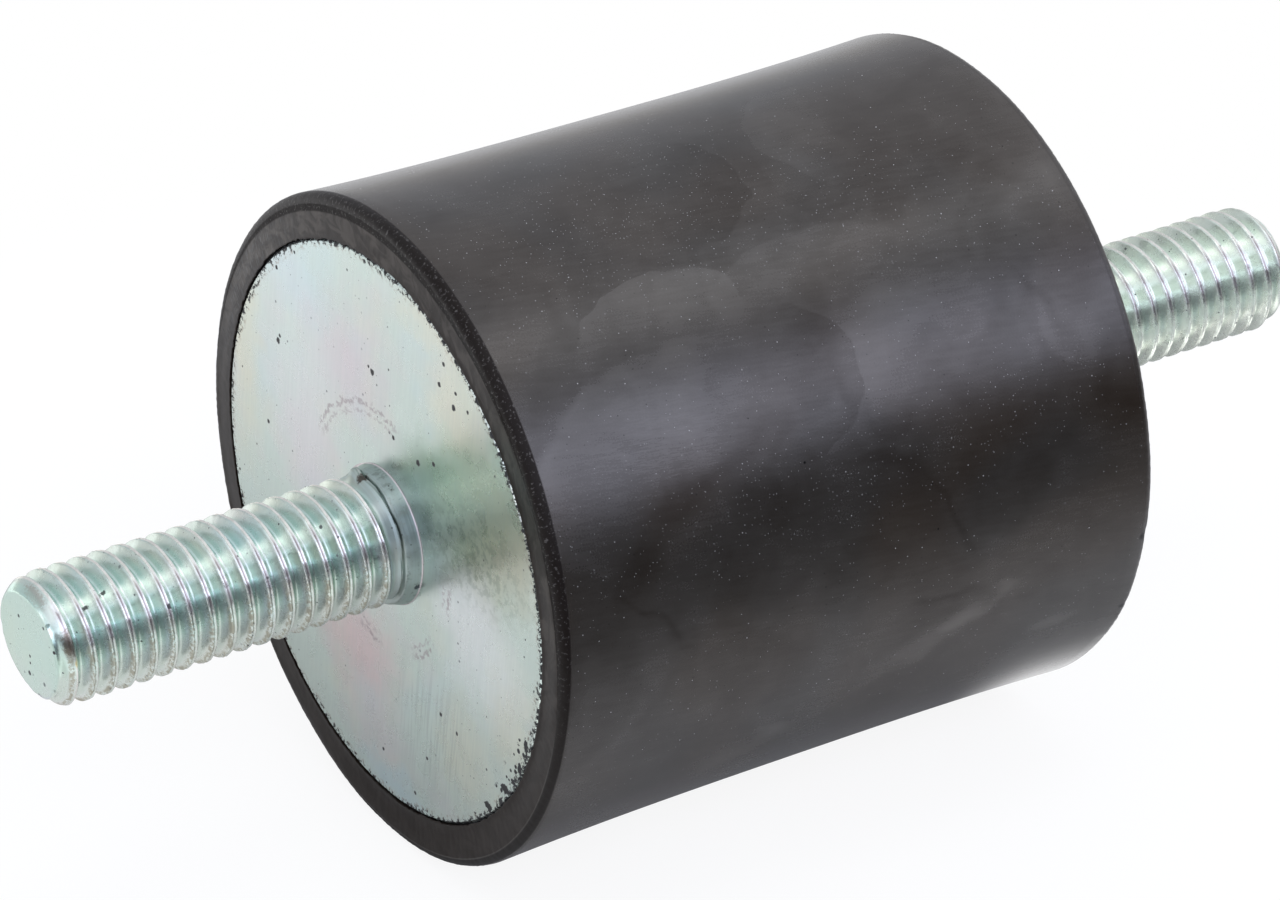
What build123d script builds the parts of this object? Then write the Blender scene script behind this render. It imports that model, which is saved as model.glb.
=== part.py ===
from build123d import *
import os

# A cylindrical rubber buffer: a rubber cylinder moulded round two steel end plates,
# each carrying a threaded stud whose head is locked between the plate and the rubber.
# The common axis lies along X. The front end looks towards -X, the rear end towards +X,
# and the origin is the centre of the buffer. All sizes are in millimetres.

# Rubber cylinder, nominally 40 across and 40 long. Its side is one shallow hollow curve:
# the waist lies this much deeper than the ends, where the plates held the rubber as it shrank.
BODY_DIAMETER = 40.0
BODY_WAIST_DEPTH = 0.3
BODY_LENGTH = 40.5
BODY_EDGE_CHAMFER = 0.45

# Steel end plates, flush with the rubber's ends.
PLATE_DIAMETER = 35.0
PLATE_THICKNESS = 2.0
PLATE_EDGE_CHAMFER = 0.25

# M8 studs. Their length is counted from the plate, and the thread is its plain major cylinder.
THREAD_DIAMETER = 8.0
STUD_LENGTH = 23.0
TIP_FACE_DIAMETER = 6.2
TIP_BEVEL_LENGTH = 1.0

# Plain collar at the stud's base, which also fills the plate's hole, with a run-out groove in front.
COLLAR_DIAMETER = 8.3
COLLAR_HEIGHT = 1.0
COLLAR_EDGE_CHAMFER = 0.15
COLLAR_PRESS_CLEARANCE = 0.0
RUNOUT_DIAMETER = 7.2
RUNOUT_WIDTH = 0.7

# Round head of the stud, behind the plate.
HEAD_DIAMETER = 14.0
HEAD_THICKNESS = 2.0
HEAD_EDGE_CHAMFER = 0.3

# Places along the rear half of the axis, from the middle outwards.
END_FACE = BODY_LENGTH / 2
PLATE_BACK = END_FACE - PLATE_THICKNESS
HEAD_BACK = PLATE_BACK - HEAD_THICKNESS
COLLAR_FACE = END_FACE + COLLAR_HEIGHT
THREAD_START = COLLAR_FACE + RUNOUT_WIDTH
STUD_TIP = END_FACE + STUD_LENGTH
BEVEL_START = STUD_TIP - TIP_BEVEL_LENGTH

# Corners of half sections, as (x, radius). The rubber is moulded against the same corners.
HEAD_CORNERS = [
    (HEAD_BACK, 0),
    (HEAD_BACK, HEAD_DIAMETER / 2 - HEAD_EDGE_CHAMFER),
    (HEAD_BACK + HEAD_EDGE_CHAMFER, HEAD_DIAMETER / 2),
    (PLATE_BACK, HEAD_DIAMETER / 2),
]
PLATE_RIM_CORNERS = [
    (PLATE_BACK, PLATE_DIAMETER / 2 - PLATE_EDGE_CHAMFER),
    (PLATE_BACK + PLATE_EDGE_CHAMFER, PLATE_DIAMETER / 2),
    (END_FACE - PLATE_EDGE_CHAMFER, PLATE_DIAMETER / 2),
    (END_FACE, PLATE_DIAMETER / 2 - PLATE_EDGE_CHAMFER),
]


def turned(corners):
    """Close the half section through the corners and revolve it about the X axis."""
    section = make_face(Polyline(*corners, close=True))
    return revolve(section, Axis.X)


def to_front(rear_piece):
    """The same piece at the front end, turned half a turn about Z."""
    return Rotation(0, 0, 180) * rear_piece


def make_stud():
    """The rear stud: head, collar, run-out groove, thread cylinder and bevelled tip."""
    collar = COLLAR_DIAMETER / 2
    runout = RUNOUT_DIAMETER / 2
    thread = THREAD_DIAMETER / 2
    collar_corners = [
        (PLATE_BACK, collar),
        (COLLAR_FACE - COLLAR_EDGE_CHAMFER, collar),
        (COLLAR_FACE, collar - COLLAR_EDGE_CHAMFER),
    ]
    thread_corners = [
        (COLLAR_FACE, runout),
        (THREAD_START - (thread - runout), runout),
        (THREAD_START, thread),
        (BEVEL_START, thread),
        (STUD_TIP, TIP_FACE_DIAMETER / 2),
        (STUD_TIP, 0),
    ]
    return turned(HEAD_CORNERS + collar_corners + thread_corners)


def make_plate():
    """The rear end plate: a stamped disc whose hole takes the stud's collar."""
    hole = COLLAR_DIAMETER / 2 + COLLAR_PRESS_CLEARANCE
    return turned([(PLATE_BACK, hole)] + PLATE_RIM_CORNERS + [(END_FACE, hole)])


def make_rubber_body():
    """The waisted rubber cylinder with broken edges, moulded round the plate and stud head of each end."""
    radius = BODY_DIAMETER / 2
    face_radius = radius - BODY_EDGE_CHAMFER
    side_end = END_FACE - BODY_EDGE_CHAMFER
    side = ThreePointArc((-side_end, radius), (0, radius - BODY_WAIST_DEPTH), (side_end, radius))
    rear_end = Polyline((side_end, radius), (END_FACE, face_radius), (END_FACE, 0))
    axis = Line((END_FACE, 0), (-END_FACE, 0))
    front_end = Polyline((-END_FACE, 0), (-END_FACE, face_radius), (-side_end, radius))
    moulding = revolve(make_face(side + rear_end + axis + front_end), Axis.X)
    rear_insert = turned(HEAD_CORNERS + PLATE_RIM_CORNERS + [(END_FACE, 0)])
    return moulding - rear_insert - to_front(rear_insert)


rear_stud = make_stud()
rear_plate = make_plate()
nodes = {
    "rubber_body": make_rubber_body(),
    "front_plate": to_front(rear_plate),
    "rear_plate": rear_plate,
    "front_stud": to_front(rear_stud),
    "rear_stud": rear_stud,
}

os.makedirs("parts", exist_ok=True)
for name, solid in nodes.items():
    export_step(solid, f"parts/{name}.step")
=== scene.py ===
import math
from typing import NamedTuple
import bmesh
import bpy
import numpy as np
from mathutils import Matrix, Vector


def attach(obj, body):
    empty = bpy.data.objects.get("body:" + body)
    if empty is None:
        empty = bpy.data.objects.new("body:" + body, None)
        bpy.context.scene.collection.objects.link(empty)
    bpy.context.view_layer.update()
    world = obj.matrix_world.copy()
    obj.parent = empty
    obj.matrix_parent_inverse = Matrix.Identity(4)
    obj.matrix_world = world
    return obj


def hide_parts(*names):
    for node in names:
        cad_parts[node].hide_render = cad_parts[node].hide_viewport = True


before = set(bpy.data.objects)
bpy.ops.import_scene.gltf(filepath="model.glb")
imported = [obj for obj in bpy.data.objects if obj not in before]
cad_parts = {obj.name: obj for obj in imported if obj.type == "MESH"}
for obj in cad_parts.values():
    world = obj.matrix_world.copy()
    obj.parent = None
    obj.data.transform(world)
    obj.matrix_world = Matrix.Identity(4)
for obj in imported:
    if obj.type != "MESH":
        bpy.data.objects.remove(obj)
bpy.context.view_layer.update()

# Sizes of the CAD model, in millimetres. The buffer's axis is X, and its front end looks towards -X.
MM = 0.001
BODY_RADIUS = 20
END_FACE = 20.25
PLATE_RADIUS = 17.5
PLATE_BACK = 18.25
HEAD_RADIUS = 7
HEAD_BACK = 16.25
COLLAR_RADIUS = 4.15
STUD_TIP = 43.25
PITCH = 1.25

# From the photo: the side's hollow, the rounded edges, and how far each end's rim leans along y and z.
WAIST_DEPTH = 0.306
WAIST_POWER = 3.1
EDGE_RADIUS = 0.6
FRONT_LEAN = (0.241, 0.088)
REAR_LEAN = (0.214, -0.161)

# Meshes


def smoothstep(low, high, value):
    t = np.clip((value - low) / (high - low), 0, 1)
    return t * t * (3 - 2 * t)


def waves(angle, orders, seed, fall=0):
    """A random sum of waves of the given orders round the angle, with a mean square of one."""
    draw = np.random.RandomState(seed)
    total = np.zeros_like(angle)
    power = 0
    for order in orders:
        size = draw.uniform(0.5, 1) / (1 + order) ** fall
        total = total + size * np.cos(order * angle + draw.uniform(0, 2 * np.pi))
        power += size * size / 2
    return total / math.sqrt(power)


def add_object(name, points, faces):
    """A mesh object from points in millimetres."""
    mesh = bpy.data.meshes.new(name)
    mesh.from_pydata([tuple(p) for p in np.asarray(points) * MM], [], faces)
    mesh.update()
    made = bpy.data.objects.new(name, mesh)
    bpy.context.scene.collection.objects.link(made)
    return made


def finish_mesh(made, sharp_degrees):
    """Turns the normals outwards, shades smooth and marks the edges sharper than the angle."""
    work = bmesh.new()
    work.from_mesh(made.data)
    bmesh.ops.recalc_face_normals(work, faces=work.faces)
    limit = math.radians(sharp_degrees)
    for edge in work.edges:
        edge.smooth = not (len(edge.link_faces) == 2 and edge.calc_face_angle(0) > limit)
    for face in work.faces:
        face.smooth = True
    work.to_mesh(made.data)
    work.free()


def lathe(rows, angle):
    """Points and faces of a closed turned shape. Its rows of (x, radius) hold numbers or arrays."""
    count = len(angle)
    points = []
    faces = []
    for x, radius in rows:
        x = np.broadcast_to(x, angle.shape)
        radius = np.broadcast_to(radius, angle.shape)
        points.append(np.stack([x, radius * np.cos(angle), radius * np.sin(angle)], axis=1))
    for row in range(len(rows) - 1):
        for k in range(count):
            a = row * count + k
            b = row * count + (k + 1) % count
            faces.append((a, b, b + count, a + count))
    points = np.concatenate(points)
    first = len(points)
    ends = [points[:count].mean(axis=0), points[-count:].mean(axis=0)]
    ends[0][1:] = 0
    ends[1][1:] = 0
    points = np.concatenate([points, np.array(ends)])
    last_row = (len(rows) - 1) * count
    for k in range(count):
        faces.append((first, (k + 1) % count, k))
        faces.append((first + 1, last_row + k, last_row + (k + 1) % count))
    return points, faces


# Thread profile: (part of the pitch from the crest's middle, radius).
# The crest keeps the tiny seam that thread rolling leaves.
HALF_PROFILE = [
    (0, 3.875), (0.03, 3.89), (0.055, 3.935), (0.078, 3.95), (0.103, 3.935), (0.13, 3.885), (0.165, 3.805),
    (0.26, 3.6), (0.35, 3.41), (0.405, 3.315), (0.455, 3.262),
]
ROOT_RADIUS = 3.245
CREST_RISE = 0.7
THREAD_SEGMENTS = 128

# Where the thread runs out before the collar, counted from the collar's face, and the gap in the corner.
RUNOUT_RADIUS = 3.78
RUNOUT_SHARE = 0.62
RUNOUT_FROM = 0.35
RUNOUT_TO = 1.45
GAP_DEPTH = 0.2
GAP_WIDTH = 0.07
HIDDEN_RADIUS = 3.5

# The tip's bevel: a blunt cone that grows from the tip's flat face, with a rounded rim.
TIP_RADIUS = 3.14
TIP_ROUNDING = 0.03
BEVEL_LENGTH = 1.05
BEVEL_HEIGHT = 0.8
BEVEL_POWER = 0.72
BEVEL_BLEND = 0.06
TIP_RIM_LENGTH = 0.08
TIP_RIM_DEPTH = 0.1
# The tip's flat face is slightly domed and has a soft rim: (step past the plane of the tip, radius).
TIP_STEPS = [(0.01, 2.98), (0, 2.8), (-0.015, 2.2), (-0.025, 1.6), (-0.03, 0.9), (-0.035, 0)]

# The burr that the collar's front edge throws up on the front stud: angle, half width, height.
BURR_ANGLE = 74
BURR_WIDTH = 7
BURR_HEIGHT = 0.5

# The collar stands this far out of the plate, and the rod goes on behind its face down to the foot.
COLLAR_HEIGHT = 0.9
COLLAR_FRONT_RADIUS = 3.97
ROD_FOOT = END_FACE - 0.6


class StudShape(NamedTuple):
    """How one stud of the photo differs from a perfect one. end is -1 at the front and 1 at the rear."""

    end: int
    crest: float
    centre: tuple
    scale: float
    tip: float
    tip_lean: tuple
    seed: int

    def tip_face(self, y, z):
        """Distance of the tip's flat face from the middle of the buffer."""
        return self.tip + self.tip_lean[0] * y + self.tip_lean[1] * z

    def collar_face(self, angle):
        """Distance of the collar's uneven front face from the middle of the buffer."""
        uneven = 0.025 * waves(angle, range(3, 9), 5 + self.end)
        return END_FACE + COLLAR_HEIGHT + 0.05 * np.cos(angle - 2.6) + uneven


FRONT_STUD = StudShape(-1, -0.4615, (-0.52, 0.2), 0.99, 43.19, (0.033, 0.052), 21)
REAR_STUD = StudShape(1, 35.907, (0.34, -0.4), 0.987, 43.25, (0, 0.02), 31)


def worked_radius(shape, x, angle, turn, radius):
    """The radius after the run-out at the collar, the wear of the crests, the tip's bevel and the burr."""
    end, seed = shape.end, shape.seed

    # Distance from the collar's face, positive on the thread.
    from_collar = end * x - shape.collar_face(angle)
    fade = RUNOUT_SHARE * (1 - smoothstep(RUNOUT_FROM, RUNOUT_TO, from_collar))
    radius = radius + (RUNOUT_RADIUS - radius) * fade
    radius = radius - GAP_DEPTH * np.exp(-((from_collar - 0.02) / GAP_WIDTH) ** 2)
    radius = np.where(from_collar < -0.05, HIDDEN_RADIUS, radius)

    # Small dents and waves on the crests, as on a rolled and plated thread.
    rise = np.clip((radius - ROOT_RADIUS) / CREST_RISE, 0, 1)
    radius = radius + rise ** 3 * 0.012 * waves(angle + 0.7 * turn, range(5, 40), seed, 0.3)

    # The bevel cuts the first turns down to the cone, softly where the two meet.
    from_tip = shape.tip_face(radius * np.cos(angle), radius * np.sin(angle)) - end * x
    grown = BEVEL_HEIGHT * np.clip(from_tip / BEVEL_LENGTH, 0, 3) ** BEVEL_POWER
    cone = TIP_RADIUS - TIP_ROUNDING + grown
    cone = cone + 0.02 * waves(angle, range(2, 9), seed + 1)
    rim = TIP_RIM_DEPTH * (1 - np.clip(from_tip / TIP_RIM_LENGTH, 0, 1)) ** 2
    cone = np.where(from_tip < TIP_RIM_LENGTH, cone - rim, cone)
    gap = (radius - cone) / BEVEL_BLEND
    radius = cone + BEVEL_BLEND * np.where(gap > 30, 0, -np.log1p(np.exp(-np.clip(gap, -60, 30))))

    if end < 0:
        degrees = np.degrees(angle) % 360
        burr = np.exp(-((degrees - BURR_ANGLE) / BURR_WIDTH) ** 2)
        burr = burr * smoothstep(0.95, RUNOUT_FROM, from_collar) * (from_collar > -0.05)
        radius = radius + BURR_HEIGHT * burr
    return radius


def thread_faces(count, size):
    """Faces between the profiles. A profile's last point meets the first point one turn on."""
    faces = []
    for i in range(count - 1):
        for j in range(size):
            a = i * size + j
            b = (i + 1) * size + j
            if j + 1 < size:
                c, d = b + 1, a + 1
            elif i + 1 + THREAD_SEGMENTS < count:
                c, d = (i + 1 + THREAD_SEGMENTS) * size, (i + THREAD_SEGMENTS) * size
            else:
                continue
            faces.append((a, b, c, d))
    return faces


def make_thread(shape):
    """Points and faces of a threaded rod about the buffer's axis, longer than the stud at both ends."""
    left = [(-s, r) for s, r in reversed(HALF_PROFILE[1:])]
    profile = [(-0.5, ROOT_RADIUS)] + left + HALF_PROFILE
    span = sorted((shape.end * (END_FACE - 1), shape.end * (STUD_TIP + 1)))
    turn_low = math.floor((span[0] - shape.crest) / PITCH) - 1
    turn_high = math.ceil((span[1] - shape.crest) / PITCH) + 1
    steps = np.arange(turn_low * THREAD_SEGMENTS, turn_high * THREAD_SEGMENTS + 1)
    turn = steps[:, None] / THREAD_SEGMENTS
    share = np.array([s for s, r in profile])[None, :]
    radius = shape.scale * np.array([r for s, r in profile])[None, :] + np.zeros_like(turn)
    angle = (2 * np.pi * turn) + np.zeros_like(share)
    x = shape.crest + PITCH * (turn + share)
    radius = worked_radius(shape, x, angle, turn, radius)
    points = np.stack([x, radius * np.cos(angle), radius * np.sin(angle)], axis=-1).reshape(-1, 3)
    return points, thread_faces(len(steps), len(profile))


def close_rod(work, shape, at_tip):
    """Cuts the rod off at its tip or at its foot behind the collar's face, and closes it there."""
    end = shape.end
    lean_y, lean_z = shape.tip_lean
    place, outwards = (end * ROD_FOOT, 0, 0), (-end, 0, 0)
    rings = [(0, 1), (0, 0)]
    if at_tip:
        place, outwards = (end * shape.tip, 0, 0), (end, -lean_y, -lean_z)
        rings = TIP_STEPS
    everything = work.verts[:] + work.edges[:] + work.faces[:]
    cut = bmesh.ops.bisect_plane(
        work, geom=everything, dist=1e-8,
        plane_co=Vector(place) * MM, plane_no=Vector(outwards).normalized(), clear_outer=True,
    )
    rim = [item for item in cut["geom_cut"] if isinstance(item, bmesh.types.BMEdge)]
    for shift, radius in rings:
        grown = bmesh.ops.extrude_edge_only(work, edges=rim)["geom"]
        rim = [item for item in grown if isinstance(item, bmesh.types.BMEdge) and item.is_boundary]
        fresh = {v for edge in rim for v in edge.verts}
        for v in fresh:
            angle = math.atan2(v.co.z, v.co.y)
            y = radius * math.cos(angle)
            z = radius * math.sin(angle)
            x = shape.tip_face(y, z) + shift if at_tip else ROD_FOOT
            v.co = Vector((end * x, y, z)) * MM
    bmesh.ops.remove_doubles(work, verts=list(fresh), dist=1e-7)


def make_collar(shape):
    """Points and faces of the collar with its uneven bevel, its foot on the plate, and the hidden head."""
    end, seed = shape.end, shape.seed
    angle = np.linspace(0, 2 * np.pi, 256, endpoint=False)
    face = shape.collar_face(angle)
    bevel = 0.07 + 0.02 * waves(angle, range(3, 8), seed + 2)
    front = COLLAR_FRONT_RADIUS + 0.008 * waves(angle, range(4, 30), seed + 3)
    rows = [
        (face - 0.3, 2.5), (face - 0.02, 3.4), (face, 3.6),
        (face + 0.008, front - bevel * 1.1),
        (face - 0.02, front - bevel * 0.6),
        (face - bevel * 0.8, front),
        (face - 0.3, 0.6 * front + 0.4 * COLLAR_RADIUS),
        (END_FACE + 0.25, COLLAR_RADIUS),
        (END_FACE + 0.1, COLLAR_RADIUS + 0.015),
        (END_FACE + 0.05, COLLAR_RADIUS + 0.05),
        (END_FACE + 0.012, COLLAR_RADIUS + 0.09),
        (END_FACE + 0.003, COLLAR_RADIUS + 0.02),
        (END_FACE - 0.04, COLLAR_RADIUS - 0.02),
        (PLATE_BACK, COLLAR_RADIUS - 0.02),
        (PLATE_BACK, HEAD_RADIUS - 0.02),
        (HEAD_BACK + 0.3, HEAD_RADIUS - 0.02),
        (HEAD_BACK, HEAD_RADIUS - 0.3),
    ]
    return lathe([(end * x, r) for x, r in rows], angle)


def add_stud(name, shape, material):
    """One stud: the rod with its rolled thread, the collar and the hidden head."""
    rod = add_object(name, *make_thread(shape))
    work = bmesh.new()
    work.from_mesh(rod.data)
    close_rod(work, shape, at_tip=True)
    close_rod(work, shape, at_tip=False)
    loose = [v for v in work.verts if not v.link_faces]
    bmesh.ops.delete(work, geom=loose, context="VERTS")
    work.to_mesh(rod.data)
    work.free()

    collar = add_object(name + "_collar", *make_collar(shape))
    joined = bmesh.new()
    joined.from_mesh(rod.data)
    joined.from_mesh(collar.data)
    # All that stands out of the plate sits a little off the buffer's axis.
    for v in joined.verts:
        if shape.end * v.co.x > (END_FACE + 0.01) * MM:
            v.co.y += shape.centre[0] * MM
            v.co.z += shape.centre[1] * MM
    joined.to_mesh(rod.data)
    joined.free()
    bpy.data.objects.remove(collar)
    finish_mesh(rod, 40)
    rod.data.materials.append(material)
    return rod


# Nicks in the rear rim: angle and half width in degrees, depth.
NICKS = [(189, 0.9, 0.22), (232, 1.3, 0.3), (205, 0.6, 0.1)]
SIDE_END = END_FACE - EDGE_RADIUS
EDGE_START = BODY_RADIUS - EDGE_RADIUS
SIDE_ROWS = 44


def lean_of(x, angle):
    """How far the rim of the end that x is nearer to stands out of square at each angle."""
    along_y, along_z = FRONT_LEAN if x < 0 else REAR_LEAN
    return along_y * np.cos(angle) + along_z * np.sin(angle)


def end_rows(end, seed, angle):
    """Rows of (x, radius) from the axis outwards: the plate's seat, the ragged lip, the rounded edge."""
    ragged = 0.07 + 0.03 * waves(angle, range(3, 30), seed, 0.4)
    ragged = ragged + 0.03 * waves(angle, range(40, 220), seed + 1)
    lip = PLATE_RADIUS - np.clip(ragged, 0.01, 0.2)
    grit = [0.004 * waves(angle, range(20, 300), seed + 10 + k) for k in range(12)]
    rows = [
        (HEAD_BACK, HEAD_RADIUS), (PLATE_BACK, HEAD_RADIUS), (PLATE_BACK, PLATE_RADIUS - 0.03),
        (END_FACE - 0.02, PLATE_RADIUS - 0.03), (END_FACE - 0.02, lip),
        (END_FACE + 0.022, lip), (END_FACE + 0.035, lip + 0.03), (END_FACE + 0.032, PLATE_RADIUS + 0.02),
        (END_FACE + 0.012 + grit[0], PLATE_RADIUS + 0.14),
    ]
    flat = np.linspace(PLATE_RADIUS + 0.35, EDGE_START - 0.08, 5)
    rows += [(END_FACE + grit[1 + k], r) for k, r in enumerate(flat)]
    for k, turn in enumerate(np.radians([90, 75, 60, 45, 30, 15])):
        grown = EDGE_RADIUS + 1.6 * grit[6 + k] + 0.012 * waves(angle, range(3, 16), seed + 40)
        rows.append((SIDE_END + grown * np.sin(turn), EDGE_START + grown * np.cos(turn)))
    leant = []
    for x, r in rows:
        share = smoothstep(PLATE_RADIUS + 0.05, EDGE_START, np.broadcast_to(r, angle.shape))
        leant.append((end * x + share * lean_of(end, angle) * r / BODY_RADIUS, r))
    return leant


def side_rows(count, angle):
    """Rows of (x, radius) along the hollow side, which swells a little here and there."""
    rows = []
    for share in np.linspace(-1, 1, count):
        x = share * SIDE_END
        swell = 0.01 * waves(angle, range(1, 6), 71) * math.cos(x / 9) * (1 - share ** 4)
        hollow = WAIST_DEPTH * (1 - abs(share) ** WAIST_POWER)
        rows.append((x + abs(share) ** 6 * lean_of(x, angle), BODY_RADIUS - hollow + swell))
    return rows


def nicked(x, r, angle):
    """One row with the nicks of the rear rim pressed in."""
    for place, wide, deep in NICKS:
        near = np.exp(-(((np.degrees(angle) - place + 180) % 360 - 180) / wide) ** 2)
        dent = deep * near * smoothstep(END_FACE - 0.5, END_FACE - 0.05, np.broadcast_to(x, angle.shape))
        x = x - dent
        r = r - dent * smoothstep(BODY_RADIUS - 0.7, BODY_RADIUS - 0.3, np.broadcast_to(r, angle.shape))
    return x, r


def add_rubber(name, material):
    """The rubber body: hollow side, rounded and leaning rims, and a ragged skin over each plate's rim."""
    angle = np.linspace(0, 2 * np.pi, 720, endpoint=False)
    rows = end_rows(-1, 100, angle) + side_rows(SIDE_ROWS, angle) + end_rows(1, 200, angle)[::-1]
    body = add_object(name, *lathe([nicked(x, r, angle) for x, r in rows], angle))
    finish_mesh(body, 50)
    body.data.materials.append(material)
    return body


# Materials

# How deep a bump of height one is, in metres.
BUMP_DEPTH = 0.00001


class Shader:
    """Builds the nodes of a material or world. An input takes a plain value or another node's socket."""

    def __init__(self, owner):
        owner.use_nodes = True
        self.tree = owner.node_tree
        self.tree.nodes.clear()

    def node(self, kind, inputs=(), **settings):
        made = self.tree.nodes.new("ShaderNode" + kind)
        for key, value in settings.items():
            setattr(made, key, value)
        for key, value in dict(inputs).items():
            socket = made.inputs[key]
            if isinstance(value, bpy.types.NodeSocket):
                self.tree.links.new(value, socket)
            elif socket.type == "RGBA":
                socket.default_value = (*value, 1)
            else:
                socket.default_value = value
        return made

    def math(self, kind, a, b=0.5, c=0.5):
        return self.node("Math", {0: a, 1: b, 2: c}, operation=kind).outputs[0]

    def repeated(self, kind, values):
        total = values[0]
        for value in values[1:]:
            total = self.math(kind, total, value)
        return total

    def plus(self, *values):
        return self.repeated("ADD", values)

    def times(self, *values):
        return self.repeated("MULTIPLY", values)

    def most(self, *values):
        return self.repeated("MAXIMUM", values)

    def minus(self, a, b):
        return self.math("SUBTRACT", a, b)

    def times_plus(self, a, b, c):
        return self.math("MULTIPLY_ADD", a, b, c)

    def rest(self, share):
        return self.minus(1, share)

    def apart(self, a, b):
        """How far two values are apart."""
        return self.math("ABSOLUTE", self.minus(a, b))

    def step(self, value, low, high, out_low=0, out_high=1):
        """Goes smoothly from out_low at low to out_high at high."""
        inputs = {"Value": value, "From Min": low, "From Max": high, "To Min": out_low, "To Max": out_high}
        return self.node("MapRange", inputs, interpolation_type="SMOOTHSTEP").outputs[0]

    def band(self, value, middle, outer, inner):
        """1 within inner of the middle, and 0 beyond outer."""
        return self.step(self.apart(value, middle), outer, inner)

    def mix(self, share, a, b):
        return self.node("Mix", {0: share, 6: a, 7: b}, data_type="RGBA").outputs[2]

    def paint(self, tone, share, strength, colour):
        """The tone, with the colour over it as far as share times strength says."""
        return self.mix(self.times(share, strength), tone, colour)

    def joined(self, a, b):
        """A flat vector of two parts."""
        return self.node("CombineXYZ", {0: a, 1: b, 2: 0}).outputs[0]

    def scaled(self, vector, scale, shift=(0, 0, 0)):
        inputs = {"Vector": vector, "Scale": scale, "Location": shift}
        return self.node("Mapping", inputs).outputs[0]

    def shifted(self, vector, shift):
        return self.scaled(vector, (1, 1, 1), shift)

    def turned_to(self, flat, middle, half, tilt=0):
        """Coordinates about an oval's middle, turned with it, in which its rim is at 1."""
        inputs = {
            "Vector": flat, "Location": (*middle, 0), "Rotation": (0, 0, math.radians(tilt)),
            "Scale": (*half, 1),
        }
        return self.node("Mapping", inputs, vector_type="TEXTURE").outputs[0]

    def length(self, vector):
        return self.node("VectorMath", {0: vector}, operation="LENGTH").outputs[1]

    def noise(self, vector, scale, detail=3, rough=0.55, bend=0, space="3D"):
        inputs = {"Vector": vector, "Scale": scale, "Detail": detail, "Roughness": rough, "Distortion": bend}
        return self.node("TexNoise", inputs, noise_dimensions=space).outputs[0]

    def flat_noise(self, flat, scale, detail, rough, bend=0):
        return self.noise(flat, scale, detail, rough, bend, "2D")

    def strokes(self, flat, half, tilt, detail, rough, bend=0, middle=(0, 0)):
        """Noise in strokes of the given half sizes."""
        return self.flat_noise(self.turned_to(flat, middle, half, tilt), 1, detail, rough, bend)

    def wobbled(self, flat, scale, detail, size):
        """Flat coordinates, moved about by noise."""
        inputs = {"Vector": flat, "Scale": scale, "Detail": detail}
        noise = self.node("TexNoise", inputs, noise_dimensions="2D").outputs["Color"]
        inputs = {0: noise, 1: (size, size, 0), 2: flat}
        moved = self.node("VectorMath", inputs, operation="MULTIPLY_ADD").outputs[0]
        return self.shifted(moved, (-size / 2, -size / 2, 0))

    def specks(self, vector, scale, size, share, space="2D"):
        """Small dots of random brightness, at most size across, of which the share shows."""
        inputs = {"Vector": vector, "Scale": scale}
        made = self.node("TexVoronoi", inputs, voronoi_dimensions=space)
        pick = self.node("SeparateColor", {"Color": made.outputs["Color"]}).outputs
        chosen = self.math("LESS_THAN", pick[0], share)
        grown = self.times_plus(pick[1], 0.25 * size * scale, 0.25 * size * scale)
        dot = self.step(self.math("DIVIDE", made.outputs["Distance"], grown), 1.15, 0.7)
        return self.times(dot, chosen, self.times_plus(pick[2], 0.7, 0.3))

    def spot(self, flat, middle, half, tilt=0, soft=0.9):
        """An oval that is 1 inside and fades to 0 over its rim."""
        return self.step(self.length(self.turned_to(flat, middle, half, tilt)), 1 + soft, 1 - soft)

    def patch(self, flat, middle, half, tilt, towards, crisp):
        """An oval that is 1 on its rim on the side that it turns towards, and fades to 0 opposite."""
        local = self.turned_to(flat, middle, half, tilt)
        side = (math.cos(math.radians(towards)), math.sin(math.radians(towards)), 0)
        along = self.node("VectorMath", {0: local, 1: side}, operation="DOT_PRODUCT").outputs[1]
        inside = self.step(self.length(local), 1 + crisp, 1 - crisp)
        return self.times(inside, self.step(along, -0.45, 0.85))

    def place(self):
        """Object coordinates in millimetres, and their three parts."""
        raw = self.node("TexCoord").outputs["Object"]
        vector = self.scaled(raw, (1 / MM, 1 / MM, 1 / MM))
        parts = self.node("SeparateXYZ", {0: vector}).outputs
        return vector, parts[0], parts[1], parts[2]

    def bump(self, height, strength):
        inputs = {"Height": height, "Strength": strength, "Distance": BUMP_DEPTH}
        return self.node("Bump", inputs).outputs[0]

    def surface(self, inputs):
        shader = self.node("BsdfPrincipled", inputs)
        self.node("OutputMaterial", {"Surface": shader.outputs[0]})


def grey(value, tint=(1, 1, 1)):
    return tuple(value * part for part in tint)


# The rubber

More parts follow.
